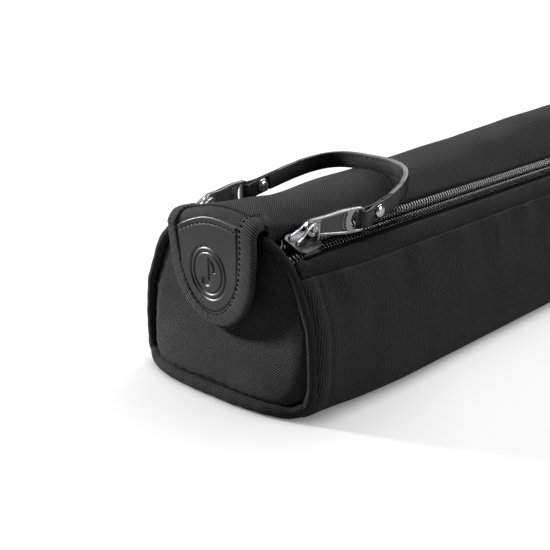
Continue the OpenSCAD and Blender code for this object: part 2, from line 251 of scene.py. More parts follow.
def flap_point(y, q, off=0.0):
    """A point of the flap at y, a length q down from where the lid turns over, off its outer face."""
    top = lid_z(lip_x, y)
    a = clip(q / fold_len, 0, 1) * pi / 2
    x = np.where(q < 0, lip_x - q, lip_x - lip_r * sin(a))
    z = np.where(q < 0, lid_z(lip_x - minimum(q, 0), y), top - lip_r * (1 - cos(a)))
    down = q > fold_len
    z = np.where(down, top - lip_r - (q - fold_len), z)
    x = np.where(down, flap_x(y, z), x)
    return point(x - off * sin(a), y, z + off * cos(a))


def flap_q(y, z):
    """How far down the flap the height z is at y."""
    return fold_len + lid_z(lip_x, y) - lip_r - z


def zip_point(x, v, w, side):
    """A point by a chain: v across it, from the lid's side to the tub's, and w up from it."""
    y = chain_y + v * cos(zip_tilt) + w * sin(zip_tilt)
    z = chain_z - v * sin(zip_tilt) + w * cos(zip_tilt)
    return point(x, side * y, z)


# ---- meshes
def add_object(name, data):
    obj = bpy.data.objects.new(name, data)
    bpy.context.scene.collection.objects.link(obj)
    return obj


def piece(name, points, faces, material, body=None, slot=None, stands_for=(), cloth=None):
    """A mesh piece from points in millimetres; cloth gives the place of each point on its flat cut."""
    mesh = bpy.data.meshes.new(name)
    mesh.from_pydata(metres(points).tolist(), [], [list(map(int, f)) for f in faces])
    mesh.validate()
    mesh.shade_smooth()
    if cloth is not None:
        flat = zeros((len(mesh.vertices), 3), np.float32)
        flat[:, :2] = np.asarray(cloth, float).reshape(-1, 2)
        mesh.attributes.new("cloth", "FLOAT_VECTOR", "POINT").data.foreach_set("vector", flat.ravel())
    mesh.materials.append(material)
    obj = add_object(name, mesh)
    if body:
        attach(obj, body)
    if stands_for:
        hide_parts(*stands_for)
    return obj


def grid_faces(rows, columns, closed=False):
    """The quads between rows of points, with the last column joined to the first if closed."""
    i, j = meshgrid(arange(rows - 1) * columns, arange(columns if closed else columns - 1), indexing="ij")
    k = (j + 1) % columns
    return point(i + j, i + columns + j, i + columns + k, i + k).reshape(-1, 4)


def flat_cut(rows):
    """Lengths along and across a grid of points, which are its places on the flat cloth."""
    u, v = (join([0], np.cumsum(norm(diff(rows, axis=axis), axis=2).mean(1 - axis))) for axis in (0, 1))
    return point(*meshgrid(u, v, indexing="ij"))


def cut_size(rows):
    """Width and length of a grid of points laid flat, in metres."""
    length, width = flat_cut(rows)[-1, -1]
    return width * MM, length * MM


def sheet(name, rows, material, thick=0, closed=False, flip=False, cloth=None, **facts):
    """A piece made of a grid of points, thickened inwards if thick."""
    faces = grid_faces(*rows.shape[:2], closed)[:, ::-1 if flip else 1]
    cloth = flat_cut(rows) if cloth is None else cloth
    obj = piece(name, rows.reshape(-1, 3), faces, material, cloth=cloth, **facts)
    if thick:
        solid = obj.modifiers.new("thickness", "SOLIDIFY")
        solid.thickness = thick * MM
        solid.offset = -1
    return obj


def normals(rows):
    """Unit normals of a grid of points."""
    n = cross(gradient(rows, axis=0), gradient(rows, axis=1))
    return n / maximum(norm(n, axis=2, keepdims=True), 1e-9)


def frames(path, closed=False, up=(0, 0, 1)):
    """Directions along a path and two across it, the second as near up as it can be."""
    if closed:
        along = roll(path, -1, 0) - roll(path, 1, 0)
    else:
        along = gradient(path, axis=0)
    along = along / norm(along, axis=1, keepdims=True)
    side = cross(array(up, float), along)
    side = side / maximum(norm(side, axis=1, keepdims=True), 1e-9)
    return along, side, cross(along, side)


def placed(path, profile, size, side, high):
    """Rows of points: a closed profile of (side, high) places at each point of a path."""
    spread = profile[:, :1] * side[:, None] + profile[:, 1:] * high[:, None]
    return path[:, None] + size[:, None, None] * spread


def swept(path, profile, closed=False, up=(0, 0, 1), scale=None):
    """Rows of points: a closed profile of (side, up) places swept along a path."""
    _, side, high = frames(path, closed, up)
    return placed(path, profile, ones(len(path)) if scale is None else scale, side, high)


def ring(radius, count):
    """A circle as a closed profile."""
    a = linspace(0, 2 * pi, count, endpoint=False)
    return radius * point(cos(a), sin(a))


def rounded(half_w, half_h, bevel):
    """A rounded rectangle as a closed profile."""
    w, h = half_w - bevel, half_h - bevel
    return join(*(arc((x, y), bevel, a, a + 90, 3)
                  for x, y, a in ((w, h, 0), (-w, h, 90), (-w, -h, 180), (w, -h, 270))))


class Parts:
    """Several closed shapes gathered into one mesh."""

    def __init__(self):
        self.points, self.faces, self.cloth, self.count = [], [], [], 0

    def add(self, points, faces, cloth=None):
        points = np.asarray(points, float).reshape(-1, 3)
        self.faces += [[int(i) + self.count for i in face] for face in faces]
        self.points.append(points)
        self.cloth.append(zeros((len(points), 2)) if cloth is None else np.asarray(cloth).reshape(-1, 2))
        self.count += len(points)

    def tube(self, rows, closed=False):
        """A swept tube, with its ends closed unless it is a loop."""
        n, m = rows.shape[:2]
        if closed:
            rows = join(rows, rows[:1])
            n += 1
        faces = grid_faces(n, m, True).tolist()
        if not closed:
            faces += [list(range(m)), list(range(n * m - 1, (n - 1) * m - 1, -1))]
        self.add(rows, faces, flat_cut(rows))

    def plate(self, outlines, thick, bevel, place):
        """A flat plate with round edges; place maps its (x, y, height) points into the bag's frame."""
        curve = bpy.data.curves.new("outline", "CURVE")
        curve.dimensions, curve.fill_mode = "2D", "BOTH"
        curve.extrude, curve.bevel_depth, curve.bevel_resolution = thick / 2 - bevel, bevel, 2
        curve.offset = -bevel
        for outline in outlines:
            loop = curve.splines.new("POLY")
            loop.points.add(len(outline) - 1)
            loop.use_cyclic_u = True
            for spot, (x, y) in zip(loop.points, outline):
                spot.co = (x, y, 0, 1)
        holder = bpy.data.objects.new("outline", curve)
        mesh = holder.to_mesh()
        points = array([v.co for v in mesh.vertices])
        faces = [list(p.vertices) for p in mesh.polygons]
        holder.to_mesh_clear()
        bpy.data.objects.remove(holder)
        bpy.data.curves.remove(curve)
        self.add(place(points), faces)

    def stitches(self, line, normal, length, pitch, radius):
        """A row of short threads along a line, each sunk at its ends."""
        marks = distances(line)
        places, rise = array([-0.5, -0.3, 0, 0.3, 0.5]), array([-1.0, 0.15, 0.45, 0.15, -1.0])
        thickness = array([0.5, 1.0, 1.1, 1.0, 0.5])
        for middle in arange(pitch / 2, marks[-1] - pitch / 2, pitch):
            spots = middle + places * length
            up = points_at(spots, marks, normal)
            path = points_at(spots, marks, line) + up * rise[:, None] * radius
            across = cross(up, (path[-1] - path[0]) / norm(path[-1] - path[0]))
            self.tube(placed(path, ring(radius, 6), thickness, across, up))

    def make(self, name, material, **facts):
        return piece(name, join(*self.points), self.faces, material, cloth=join(*self.cloth), **facts)


def sew(name, line, normal, length, pitch, radius, **facts):
    """One row of stitches as a piece."""
    threads = Parts()
    threads.stitches(line, normal, length, pitch, radius)
    return threads.make(name, thread_look, **facts)


# ---- materials
class Look:
    """A node material, built up from its shader backwards."""

    def __init__(self, name, colour, roughness, metallic=0.0, sheen=0.0, specular=0.5, coat=0.0):
        self.material = bpy.data.materials.new(name)
        self.material.use_nodes = True
        self.tree = self.material.node_tree
        self.shader = self.tree.nodes["Principled BSDF"]
        for socket, value in (("Base Color", (*colour, 1)), ("Roughness", roughness), ("Metallic", metallic),
                              ("Sheen Weight", sheen), ("Sheen Roughness", 0.45),
                              ("Specular IOR Level", specular), ("Coat Weight", coat),
                              ("Coat Roughness", 0.15)):
            self.shader.inputs[socket].default_value = value
        self.material.diffuse_color = (*colour, 1)

    def node(self, kind, values=(), output=0, **settings):
        """A new node; values are its inputs in order, and the result is one of its outputs."""
        node = self.tree.nodes.new("ShaderNode" + kind)
        for key, value in settings.items():
            setattr(node, key, value)
        for i, value in values.items() if isinstance(values, dict) else enumerate(values):
            if isinstance(value, bpy.types.NodeSocket):
                self.tree.links.new(value, node.inputs[i])
            elif value is not None:
                node.inputs[i].default_value = value
        return node.outputs[output]

    def math(self, operation, *values):
        return self.node("Math", values, operation=operation)

    def total(self, *terms):
        """The sum of terms, each a value or a pair of a value and its weight."""
        values = [self.math("MULTIPLY", *term) if isinstance(term, tuple) else term for term in terms]
        out = values[0]
        for value in values[1:]:
            out = self.math("ADD", out, value)
        return out

    def ramp(self, value, start, end, low, high):
        """The number low where value is start, rising to high where it is end."""
        return self.node("MapRange", (value, start, end, low, high))

    def connect(self, value, socket):
        self.tree.links.new(value, self.shader.inputs[socket])

    def cloth(self):
        """Places on the flat cut, in millimetres, and their two parts."""
        vector = self.node("Attribute", attribute_name="cloth", output=1)
        u, v, _ = self.node("SeparateXYZ", [vector]).node.outputs
        return vector, u, v

    def place(self):
        """Places in space, in millimetres."""
        coords = self.tree.nodes.new("ShaderNodeTexCoord")
        return self.node("VectorMath", [coords.outputs["Object"], (1000, 1000, 1000)], operation="MULTIPLY")

    def noise(self, vector, size, detail=3.0):
        return self.node("TexNoise", {"Vector": vector, "Scale": 1 / size, "Detail": detail,
                                      "Roughness": 0.6})

    def cells(self, vector, size):
        """How far in from the walls of cells of a size."""
        return self.node("TexVoronoi", {"Vector": vector, "Scale": 1 / size}, feature="DISTANCE_TO_EDGE")

    def lines(self, u, v, angle, pitch):
        """A wave from 0 to 1 over lines at an angle to u, a pitch apart."""
        c, s = cos(radians(angle)) / pitch, sin(radians(angle)) / pitch
        phase = self.total((u, 2 * pi * c), (v, 2 * pi * s))
        return self.total((self.math("SINE", phase), 0.5), 0.5)

    def colours(self, t, *stops):
        """Colours from dark to light along t, each stop a place and a grey or a colour."""
        out = self.node("ValToRGB", [t])
        elements = out.node.color_ramp.elements
        while len(elements) < len(stops):
            elements.new(0.5)
        for element, (position, colour) in zip(elements, stops):
            element.position = position
            element.color = (*colour, 1) if isinstance(colour, tuple) else (colour, colour, colour, 1)
        self.connect(out, "Base Color")

    def bump(self, height, depth, strength):
        """Relief with the depth, in millimetres, of a height from 0 to 1."""
        out = self.node("Bump", {"Height": height, "Distance": depth * MM, "Strength": strength})
        self.connect(out, "Normal")

    def roughness(self, t, low, high):
        """A roughness from low where t is 0 to high where it is 1."""
        self.connect(self.ramp(t, 0.0, 1.0, low, high), "Roughness")


def twill(name, dark, light, pitch, angle=45.0, contrast=3.4, slack=0.2):
    """Cloth with slanting ribs, each a row of short yarns."""
    look = Look(name, (light,) * 3, 0.85, sheen=0.03, specular=0.16)
    vector, u, v = look.cloth()
    wander = look.total((look.noise(vector, 9.0, 2.0), 0.3), (look.noise(vector, 1.2, 2.0), slack))
    u, v = look.total(u, wander), look.total(v, wander)
    rib, yarn = look.lines(u, v, angle, pitch), look.lines(u, v, angle + 74, pitch * 0.62)
    height = look.total((rib, 0.62), (yarn, 0.38))
    fleck, patchy = look.noise(vector, 0.6, 2.0), look.noise(vector, 32.0, 4.0)
    shade = look.total((height, 0.62), (fleck, 0.34), (patchy, 0.26))
    look.colours(shade, (0.36, dark), (0.6, light), (0.85, light * contrast))
    look.bump(look.total(height, (fleck, 0.25)), 0.09 * contrast, 0.9)
    look.roughness(height, 0.9, 0.7)
    return look.material


def plain_weave(name, dark, light, pitch, relief=0.12):
    """Cloth with a fine over-and-under weave."""
    look = Look(name, (light,) * 3, 0.85, sheen=0.03, specular=0.16)
    vector, u, v = look.cloth()
    weave = look.math("MULTIPLY", look.lines(u, v, 0, pitch), look.lines(u, v, 90, pitch))
    fleck, patchy = look.noise(vector, 0.45, 2.0), look.noise(vector, 30.0, 3.0)
    shade = look.total((weave, 0.5), (fleck, 0.3), (patchy, 0.2))
    look.colours(shade, (0.25, dark), (0.55, light), (0.8, light * 3.0))
    look.bump(look.total(weave, (fleck, 0.4)), relief, 0.8)
    return look.material


def ribbed(name, dark, light, pitch):
    """A woven binding with ribs across it."""
    look = Look(name, (light,) * 3, 0.8, sheen=0.03, specular=0.18)
    vector, u, v = look.cloth()
    rib = look.lines(look.total(u, (look.noise(vector, 3.0), 0.5)), v, 0, pitch)
    thread = look.lines(u, v, 90, 0.5)
    shade = look.total((rib, 0.6), (look.noise(vector, 0.6, 2.0), 0.3), (thread, 0.1))
    look.colours(shade, (0.2, dark), (0.55, light), (0.85, light * 2.8))
    look.bump(look.total(rib, (thread, 0.2)), 0.3, 0.85)
    return look.material


def leather(name, dark, light, rough, relief, grain=0.9, coat=0.0):
    """Grained leather with pores, creases and rubbed high spots."""
    look = Look(name, (light,) * 3, rough, specular=0.5, coat=coat)
    space = look.place()
    crease = look.noise(space, 6.0, 4.0)
    height = look.total((look.cells(space, grain), 0.9), (look.noise(space, 0.35, 3.0), 0.4))
    look.colours(look.total((height, 0.5), (crease, 0.5)), (0.2, dark), (0.6, light), (0.9, light * 1.6))
    look.bump(look.total(height, (crease, 0.8)), relief, 0.7)
    look.roughness(crease, rough - 0.1, rough + 0.14)
    return look.material


def metal(name, colour, rough):
    """Plated metal with fine brushing, dull spots and small scratches."""
    look = Look(name, colour, rough, metallic=1.0)
    space = look.place()
    brushed = look.noise(look.node("VectorMath", [space, (0.6, 4.0, 4.0)], operation="MULTIPLY"), 0.7, 4.0)
    cloudy = look.noise(space, 2.6, 3.0)
    shade = look.total((brushed, 0.4), (cloudy, 0.6))
    look.colours(shade, (0.25, tuple(c * 0.72 for c in colour)), (0.7, colour))
    look.roughness(cloudy, rough, rough + 0.16)
    look.bump(brushed, 0.012, 0.5)
    return look.material


def nylon(name, dark, light, rough, coat=0.0):
    """Smooth extruded nylon with slight mould and draw marks."""
    look = Look(name, (light,) * 3, rough, specular=0.6, coat=coat)
    space = look.place()
    marks = look.noise(space, 0.8, 3.0)
    look.colours(marks, (0.3, dark), (0.75, light))
    look.roughness(marks, rough - 0.05, rough + 0.18)
    look.bump(marks, 0.02, 0.4)
    return look.material


def tape_weave(name, dark, light):
    """A zip's tape: fine chevrons along it."""
    look = Look(name, (light,) * 3, 0.85, sheen=0.02, specular=0.15)
    vector, u, v = look.cloth()
    fold = look.math("ABSOLUTE", look.math("SUBTRACT", look.math("FRACT", look.math("DIVIDE", v, 2.4)), 0.5))
    chevron = look.lines(u, look.math("MULTIPLY", fold, 2.4), 45, 0.55)
    shade = look.total((chevron, 0.55), (look.noise(vector, 0.5, 2.0), 0.45))
    look.colours(shade, (0.2, dark), (0.6, light), (0.95, light * 1.7))
    look.bump(chevron, 0.12, 0.7)
    return look.material


def spongy(name, dark, light, size=0.9):
    """Open foam: a wall round each cell."""
    look = Look(name, (light,) * 3, 0.95, specular=0.2)
    space = look.place()
    cells = look.cells(space, size)
    look.colours(look.total((cells, 1.2), (look.noise(space, 14.0, 2.0), 0.4)), (0.1, dark), (0.7, light))
    look.bump(cells, 0.4, 0.9)
    return look.material


cloth_look = twill("body_twill", 0.002, 0.017, pitch=0.88, contrast=4.6)
lid_look = twill("lid_twill", 0.002, 0.016, angle=-47.0, pitch=0.95)
side_look = twill("side_twill", 0.006, 0.023, angle=6.0, pitch=1.0, contrast=2.8, slack=0.9)
hem_look = plain_weave("hem_weave", 0.005, 0.03, pitch=0.9)
welt_look = plain_weave("welt_weave", 0.006, 0.032, pitch=0.85, relief=0.18)
binding_look = ribbed("binding_ribs", 0.001, 0.036, pitch=1.0)
thread_look = plain_weave("thread_twist", 0.002, 0.005, pitch=0.3)
patch_look = leather("patch_leather", 0.004, 0.008, 0.38, relief=0.05)
strap_look = leather("strap_leather", 0.006, 0.014, 0.34, grain=0.7, relief=0.05, coat=0.1)
# near black, darker than the outer layer: painted shade on the strap's inner face
strap_back_painted_shade_look = leather("strap_back_leather_painted_shade", 0.001, 0.003, 0.5, grain=0.7, relief=0.05)
# edge paint coloured light grey: a painted highlight of the lit strap edges
edge_paint_highlight_look = leather("strap_edge_paint_painted_highlight", 0.08, 0.16, 0.42, grain=2.0, relief=0.02)
coil_look = nylon("coil_nylon", 0.008, 0.022, 0.2, coat=1.0)
tape_look = tape_weave("tape_weave", 0.001, 0.006)
dark_metal = metal("dark_nickel", (0.45, 0.45, 0.455), 0.24)
recess_metal = metal("recess_nickel", (0.12, 0.12, 0.12), 0.42)
slider_look = metal("slider_nickel", (0.13, 0.13, 0.135), 0.3)
bright_metal = metal("bright_nickel", (0.62, 0.62, 0.63), 0.17)
rivet_metal = metal("rivet_nickel", (0.86, 0.86, 0.86), 0.14)
lining_look = plain_weave("lining_weave", 0.02, 0.05, pitch=0.7)
foam_look = spongy("foam_cells", 0.03, 0.09)
hook_look = nylon("hook_nylon", 0.006, 0.014, 0.45)
loop_look = spongy("loop_pile", 0.004, 0.016, 0.5)


# ---- camera, floor and light
def set_camera():
    data = bpy.data.cameras.new("camera")
    camera = add_object("camera", data)
    heading, down, distance = radians(42.63), radians(18.74), 0.450
    look = Vector((cos(heading) * cos(down), sin(heading) * cos(down), -sin(down)))
    aim = Vector(metres((2.3, -28.6, 61.7)))
    camera.location = aim - look * distance
    camera.rotation_euler = look.to_track_quat("-Z", "Y").to_euler()
    data.sensor_width, data.lens, data.clip_start = 36, 69.0, 0.01
    bpy.context.scene.camera = camera


def set_floor():
    """White paper that glows for the camera; its glow is dimmed as painted shadow beside the bag, where the
    bag meets it and round its near end.
    """
    size, near_end = 3.0, (-0.27, 0, 0)
    mesh = bpy.data.meshes.new("floor")
    corners = [(-size, -size, 0), (size, -size, 0), (size, size, 0), (-size, size, 0)]
    mesh.from_pydata(corners, [], [(0, 1, 2, 3)])
    look = Look("floor_paper", (0.33, 0.33, 0.33), 0.7, specular=0.1)
    coords = look.tree.nodes.new("ShaderNodeTexCoord")
    reach = look.node("VectorMath", [coords.outputs["Object"]], output=1, operation="LENGTH")
    # painted shadow: the glow is duller within 0.25 m of the bag's middle
    glow = look.ramp(reach, 0.25, 0.7, 0.7, 1.0)
    # painted contact shadow: the glow is dimmed where the bag stands close above it
    shade = look.tree.nodes.new("ShaderNodeAmbientOcclusion")
    shade.samples, shade.inputs["Distance"].default_value = 8, 0.011
    contact_painted_shadow = look.ramp(shade.outputs["AO"], 0.2, 0.85, 0.25, 1.0)
    rays = look.tree.nodes.new("ShaderNodeLightPath")
    seen = look.ramp(rays.outputs["Is Camera Ray"], 0.0, 1.0, 0.2, 1.0)
    # painted shadow: a duller patch of glow round the near end's foot
    from_end = look.node("VectorMath", [coords.outputs["Object"], near_end], operation="SUBTRACT")
    beside = look.node("VectorMath", [from_end], output=1, operation="LENGTH")
    near_end_painted_shadow = look.ramp(beside, 0.03, 0.12, 0.72, 1.0)
    for share in (contact_painted_shadow, seen, near_end_painted_shadow):
        glow = look.math("MULTIPLY", glow, share)
    look.shader.inputs["Emission Color"].default_value = (1, 1, 1, 1)
    look.tree.links.new(glow, look.shader.inputs["Emission Strength"])
    mesh.materials.append(look.material)
    add_object("floor", mesh)


def area_light(name, place, aim, size, watts):
    data = bpy.data.lights.new(name, "AREA")
    data.shape, data.size, data.energy = "DISK", size, watts
    light = add_object(name, data)
    light.location = place
    light.rotation_euler = (Vector(aim) - Vector(place)).to_track_quat("-Z", "Y").to_euler()


def set_light():
    """A white world for the camera that lights the bag only dimly, and four area lights."""
    world_light = 0.06
    world = bpy.data.worlds.new("studio")
    world.use_nodes = True
    bpy.context.scene.world = world
    nodes, links = world.node_tree.nodes, world.node_tree.links
    seen, dim, mix, rays = (nodes.new("ShaderNode" + kind) for kind in (
        "Background", "Background", "MixShader", "LightPath"))
    seen.inputs[0].default_value = (1, 1, 1, 1)
    dim.inputs[0].default_value = (1, 1, 1, 1)
    dim.inputs[1].default_value = world_light
    links.new(rays.outputs["Is Camera Ray"], mix.inputs[0])
    links.new(dim.outputs[0], mix.inputs[1])
    links.new(seen.outputs[0], mix.inputs[2])
    links.new(mix.outputs[0], nodes["World Output"].inputs[0])
    aim = metres((60, 0, 50))
    area_light("top", (0.0, 0.25, 1.3), aim, 0.8, 8.5)
    area_light("rim", (0.95, 0.45, 0.95), aim, 0.6, 6)
    area_light("key", (-0.66, 1.05, 0.5), aim, 0.2, 27)
    area_light("fill", (0.45, -1.1, 0.5), aim, 0.5, 6)
    bpy.context.scene.view_settings.view_transform = "Standard"


set_camera()
set_floor()
set_light()


# ---- tub: cloth, welts and padding
def long_places(first, last, fine=0.9, coarse=2.6, edge=18):
    """Places along the bag, closer together near its ends."""
    near = arange(first, first + edge, fine)
    middle = linspace(first + edge, last - edge, int((last - first - 2 * edge) / coarse))
    return join(near, middle, (first + last - near)[::-1])


def half_section(d, ends):
    """Half of the tub's outline from the crease to the middle of its foot, as on the ends or between."""
    if ends:
        top_a = degrees(arcsin((crease[1] - end_c[1]) / (end_r - d)))
        upper = end_side(d, top_a)
    else:
        upper = side_line(d)
    corner = corner_line(d, end_base_r if ends else base_r)
    foot = point(linspace(corner[-1][0], 0, 16), d)
    upper = resample(join(upper, corner[:1]), 40)
    return join(upper, corner[1:], foot[1:])


def toward_ends(x, reach):
    """1 at the ends of the bag, falling to 0 within a reach."""
    return fade((minimum(x, body_len - x) - 2) / reach)


def seam_profile(x):
    """Height of the cloth beside an end welt: a tuck, a soft ridge and a stitched line."""
    s = minimum(x, body_len - x)
    ridge = 0.9 * bell(s, 6.2, 2.3) - 0.75 * bell(s, 10.0, 1.5)
    return ridge - 2.6 * fade((s - 1.6) / 2.4)


def body_rows(d, places, relief=1.0):
    """Rows of the tub's cloth from the right crease round the foot to the left one, a depth d inside."""
    end_half, mid_half = half_section(d, True), half_section(d, False)
    k = toward_ends(places, 36)[:, None, None]
    y, z = np.moveaxis(mid_half * (1 - k) + end_half * k, -1, 0)
    sag = foot_sag * relief * smooth((places - 10) / 60) * fade((places - 190) / 240)
    y = y + sag[:, None] * fade((z - 1) / 17) * smooth(y / 40)
    rows = point(places[:, None], y, z)
    out = normals(rows)
    out = out * np.sign(out[:, :1, 1:2].mean())
    x, s = meshgrid(places, distances(mid_half), indexing="ij")
    off_floor = smooth((z - 2) / 8)
    pucker = sin(x / 1.9 + 2.2 * sin(x / 23)) + 0.7 * sin(x / 3.1 + 1.7) + 0.5 * sin(x / 5.3)
    swell = 0.7 * sin(x / 41 + 0.8) * sin(s / 19) + 0.35 * sin(x / 17 + s / 15)
    fold = 0.9 * sin(x / 4.3 + 1.8 * sin(x / 37)) * exp(-s / 26) * smooth(s / 3)
    lift = relief * (0.16 * pucker * exp(-s / 11) + fold + swell * smooth(s / 8)) * (1 - toward_ends(x, 12))
    lift += seam_profile(x) * maximum(smooth((s - 0.5) / 5), 0.3)
    rows += out * (lift * off_floor)[..., None]
    tuck = fade((minimum(x, body_len - x) - 1.6) / 3.5)
    rows[..., 2] += 1.6 * tuck * (1 - off_floor)
    rows = join(rows * [1, -1, 1], rows[:, -2::-1], axis=1)
    for place, sign, share in ENDS.values():
        near = fade(sign * (places - place) / 75)[:, None]
        rows[..., 0] -= sign * share * near * foot_bow(rows[..., 1], rows[..., 2])
    return rows


def make_body_cloth():
    rows = body_rows(0, long_places(1.8, body_len - 1.8))
    rows[..., 2] = maximum(rows[..., 2], cloth_t)
    wrap = sheet("body_wrap", rows, side_look, thick=cloth_t, body="tub", slot="body_cloth",
                 stands_for=("bottom_panel", "right_side_panel", "left_side_panel"))
    girth = 2 * distances(half_section(0, False))[-1]


def make_hem(hand):
    """The margin between the crease and a zip, folded under along the zip."""
    side = SIDES[hand]
    places = long_places(2.2, body_len - 2.2)
    k = toward_ends(places, 36)
    tape_reach, edge_lift = 7.6, 1.35
    fold_y, tape_z = chain_y + tape_reach, chain_z - tape_reach * tan(zip_tilt) + tape_top / cos(zip_tilt)
    low_y = crease[0] * (1 - k) + (end_c[0] + sqrt(end_r ** 2 - (crease[1] - end_c[1]) ** 2)) * k
    wave = 0.25 * sin(places / 19) + 0.15 * sin(places / 7.7 + 1)
    fold = [(2.2, -0.75), (0.5, 0.05), (0.05, 0.3), (0.0, 0.8), (0.25, 1.2)]
    rows = [point(places, fold_y + dy + wave * 0.6, tape_z + dz) for dy, dz in fold]
    for t in linspace(0.12, 1.0, 9):
        y = fold_y + 0.7 + (low_y - fold_y - 0.7) * t
        z = tape_z + edge_lift + (crease[1] - 0.4 - tape_z - edge_lift) * t
        puff = 0.95 * sin(pi * min(t * 1.02, 1)) + 0.8 * sin(places / 11) * t * (1 - t)
        rows.append(point(places, y + puff * 0.6 + wave * (1 - t) * 0.6, z + puff * 0.8))
    rows = np.stack(rows + [rows[-1] + [0, -0.5, -1.3]], 1)
    rows[..., 2] += 0.55 * seam_profile(places)[:, None]
    rows[..., 1] *= side
    hem = sheet(hand + "_hem", rows, hem_look, flip=side < 0, body="tub", slot="hem_cloth",
                stands_for=(hand + "_top_hem",), thick=0.6)
    cut_size(rows)[0]


def end_rows(outline, rings):
    """Rings from an end's outline in to its middle, and how far in each is, from 0 to 1."""
    t = join(linspace(0, 0.1, 6), linspace(0.14, 1, rings))
    return outline + (array([0, 40.0]) - outline) * t[:, None, None], t


def make_end_cloth(end):
    """A padded end: puffed, with a stitched groove beside the welt and the foot standing out."""
    sign = ENDS[end][1]
    outline = end_outline(3.1, 240)
    flat, _ = end_rows(outline, 34)
    y, z = flat[..., 0], flat[..., 1]
    depth = norm(flat - outline, axis=2)
    around = arange(len(outline)) / len(outline) * 2 * pi
    pucker = 0.14 * sin(47 * around + 3 * sin(3 * around)) + 0.1 * sin(31 * around + 1)
    puff = 1.9 * smooth(depth / 9) * (0.35 + 0.65 * fade((z - 30) / 26))
    groove = 1.7 * bell(depth, 1.4 + 1.9 * fade((z - 3) / 14), 1.0)
    dimple = 0.5 * bell(y, -36, 9) * bell(z, 19, 7) - 0.4 * bell(y, -24, 12) * bell(z, 16, 8)
    rows = end_point(end, 1.1 - puff + groove - pucker * bell(depth, 3.5, 3) + dimple, y, z)
    rows[-1] = rows[-1].mean(0)
    obj = sheet(end + "_end_cover", rows, cloth_look, closed=True, flip=sign > 0, cloth=point(y * sign, z),
                body="tub", slot="body_cloth", stands_for=(end + "_end_panel",))
    a, b = outline.T
    flat_area = 0.5 * abs(np.dot(a, roll(b, 1)) - np.dot(b, roll(a, 1)))


def welt_path(end, x, d, count):
    """A line along a welt, x in from its middle and d inside its outline, and its thickness there."""
    y, z = end_outline(d, count).T
    thick = 1 + 0.4 * fade((z - 3) / 14)
    z = z + (thick - 1) * d * fade((z - d - 1) / 6)
    return end_point(end, welt_x + x, y, z), thick


def make_welt(end):
    """A cord in bias-cut cloth round an end, sewn down with a row of stitches in the groove, beside a dark
    cord laid in the groove as painted shadow.
    """
    path, thick = welt_path(end, 0, welt_r, 260)
    steps = arange(len(path))
    wobble = 1 + 0.03 * sin(steps * 0.9) + 0.02 * sin(steps * 0.37)
    name, inward = end + "_end_piped_welt", (1, 0, 0)
    welt = Parts()
    welt.tube(swept(path, ring(welt_r * 0.97, 20), True, inward, thick * wobble), closed=True)
    welt.make(name, welt_look, body="tub", slot="welt", stands_for=(end + "_end_welt",))
    seam, _ = welt_path(end, 0.5, 2 * welt_r + 0.1, 400)
    seam = join(seam, seam[:1])
    threads = Parts()
    threads.stitches(seam, tile([-ENDS[end][1], 0, 0.0], (len(seam), 1)), 2.1, 2.9, 0.34)
    # painted shadow: a dark cord in the threads' colour, laid along the groove beside the welt
    groove, _ = welt_path(end, 0.75, 2 * welt_r - 0.1, 300)
    threads.tube(swept(groove, ring(0.72, 8), True, inward), closed=True)
    # this stitches piece also holds the groove's painted shadow
    threads.make(name + "_stitches", thread_look, body="tub")


def make_pad(name, node, outer, inner, body="tub"):
    """A foam pad between two grids of points."""
    middle = (outer[:, [0, -1]] + inner[:, [0, -1]]) / 2
    pad = Parts()
    pad.tube(join(outer, middle[:, 1:], inner[:, ::-1], middle[:, :1], axis=1))
    pad.make(name, foam_look, body=body, slot="foam", stands_for=(node,))


def make_padding():
    places = linspace(6, body_len - 6, 60)
    outer, inner = body_rows(1.5, places, 0.5), body_rows(4.2, places, 0.5)
    for hand, wall in (("right", slice(2, 44)), ("left", slice(-44, -2))):
        make_pad(hand + "_side_pad", hand + "_side_foam", outer[:, wall], inner[:, wall])
    for end, (_, sign, _) in ENDS.items():
        flat, t = end_rows(end_outline(4.8, 96), 8)
        face = end_point(end, 2.6, flat[..., 0], flat[..., 1], smooth(t / 0.2)[:, None])
        rows = join(face[::-1], face + [sign * 2.4, 0, 0])
        pad = Parts()
        pad.add(rows, grid_faces(len(rows), rows.shape[1], True), flat_cut(rows))
        obj = pad.make(end + "_end_pad", foam_look, body="tub", slot="foam", stands_for=(end + "_end_foam",))


def make_lining():
    """The lining of the compartment: its walls, and a panel over each end."""
    rows = body_rows(4.8, linspace(5.6, body_len - 5.6, 150), 0.4)[:, 2:-2]
    s = linspace(-1, 1, rows.shape[1])
    crumple = sin(rows[..., 0] / 6 + 3 * s) * sin(9 * s + rows[..., 0] / 31)
    rows[..., 2] += 0.3 * abs(crumple) * fade((rows[..., 2] - 5) / 8)
    sheet("compartment_lining", rows, lining_look, flip=True, body="tub", slot="lining",
          stands_for=("tub_lining",))
    for end, (_, sign, _) in ENDS.items():
        flat, t = end_rows(end_outline(7.2, 120), 12)
        y, z = flat[..., 0], flat[..., 1]
        x = 5.4 - 0.5 * smooth(t * 2)[:, None] + 0.25 * sin(y / 6) * sin(z / 8)
        sheet(end + "_end_lining", end_point(end, x, y, z, 0), lining_look, closed=True, flip=sign < 0,
              body="tub", slot="lining", cloth=flat)


# ---- zips
zip_near, zip_far = 2.4, mm_box("right_body_coil")[1][0]


def parting(x):
    """How far each coil stands off its closed place, near the end where the slider waits."""
    return 2.0 * fade((x - 5.5) / 8.0)


def tail_drop(x):
    """How far the ends of a zip turn down over the near end."""
    return 1.2 * fade(x / 6.0)


